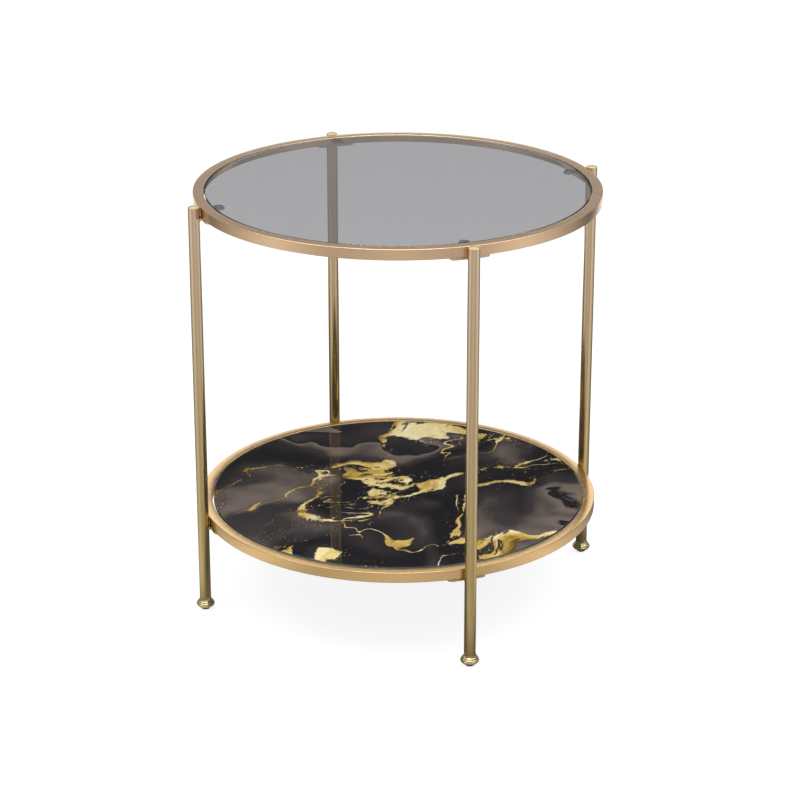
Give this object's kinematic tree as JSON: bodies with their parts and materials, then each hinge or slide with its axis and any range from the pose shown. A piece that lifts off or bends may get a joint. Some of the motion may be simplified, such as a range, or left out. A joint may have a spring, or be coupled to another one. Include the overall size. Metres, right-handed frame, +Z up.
{
  "type": "tiered side table",
  "caption": "Round tiered side table: smoked glass top above a black and gold glass shelf, each in a square-tube ring held by slim gold tube legs with domed caps and ribbed cast feet.",
  "frame": {"origin": "on the floor under the middle of the table", "axes": "+Z up along the table's axis, the front leg on -Y and the right leg on +X"},
  "size_m": [0.5672, 0.5672, 0.5582],
  "materials": {
    "satin_gold": "steel tube and plate, champagne-gold plated, satin",
    "polished_gold": "cast alloy, gold plated, polished",
    "smoked_glass": "clear smoked grey toughened glass, polished",
    "printed_glass": "toughened glass, opaque black and gold marbled print behind, polished",
    "clear_pad": "translucent silicone, moulded",
    "black_glide": "black nylon, moulded",
    "fixing_steel": "zinc-plated steel, machined"
  },
  "bodies": {
    "frame": {"foot_front": "polished_gold", "foot_left": "polished_gold", "foot_rear": "polished_gold", "foot_right": "polished_gold", "glide_front": "black_glide", "glide_left": "black_glide", "glide_rear": "black_glide", "glide_right": "black_glide", "leg_cap_front": "polished_gold", "leg_cap_left": "polished_gold", "leg_cap_rear": "polished_gold", "leg_cap_right": "polished_gold", "leg_tube_front": "satin_gold", "leg_tube_left": "satin_gold", "leg_tube_rear": "satin_gold", "leg_tube_right": "satin_gold", "lower_bracket_front": "satin_gold", "lower_bracket_left": "satin_gold", "lower_bracket_rear": "satin_gold", "lower_bracket_right": "satin_gold", "lower_bracket_screws": "fixing_steel", "lower_pad_front": "clear_pad", "lower_pad_left": "clear_pad", "lower_pad_rear": "clear_pad", "lower_pad_right": "clear_pad", "lower_ring": "satin_gold", "lower_ring_inserts": "fixing_steel", "lower_tab_front": "satin_gold", "lower_tab_left": "satin_gold", "lower_tab_rear": "satin_gold", "lower_tab_right": "satin_gold", "upper_bracket_front": "satin_gold", "upper_bracket_left": "satin_gold", "upper_bracket_rear": "satin_gold", "upper_bracket_right": "satin_gold", "upper_bracket_screws": "fixing_steel", "upper_pad_front": "clear_pad", "upper_pad_left": "clear_pad", "upper_pad_rear": "clear_pad", "upper_pad_right": "clear_pad", "upper_ring": "satin_gold", "upper_ring_inserts": "fixing_steel", "upper_tab_front": "satin_gold", "upper_tab_left": "satin_gold", "upper_tab_rear": "satin_gold", "upper_tab_right": "satin_gold"},
    "top_glass": {"top_glass": "smoked_glass"},
    "shelf_panel": {"shelf_panel": "printed_glass"}
  },
  "joints": [
    {"name": "top_glass_lift", "type": "slide", "parent": "frame", "child": "top_glass", "axis": [0, 0, 1], "range_m": [0, 0.06]},
    {"name": "shelf_panel_lift", "type": "slide", "parent": "frame", "child": "shelf_panel", "axis": [0, 0, 1], "range_m": [0, 0.06]}
  ]
}
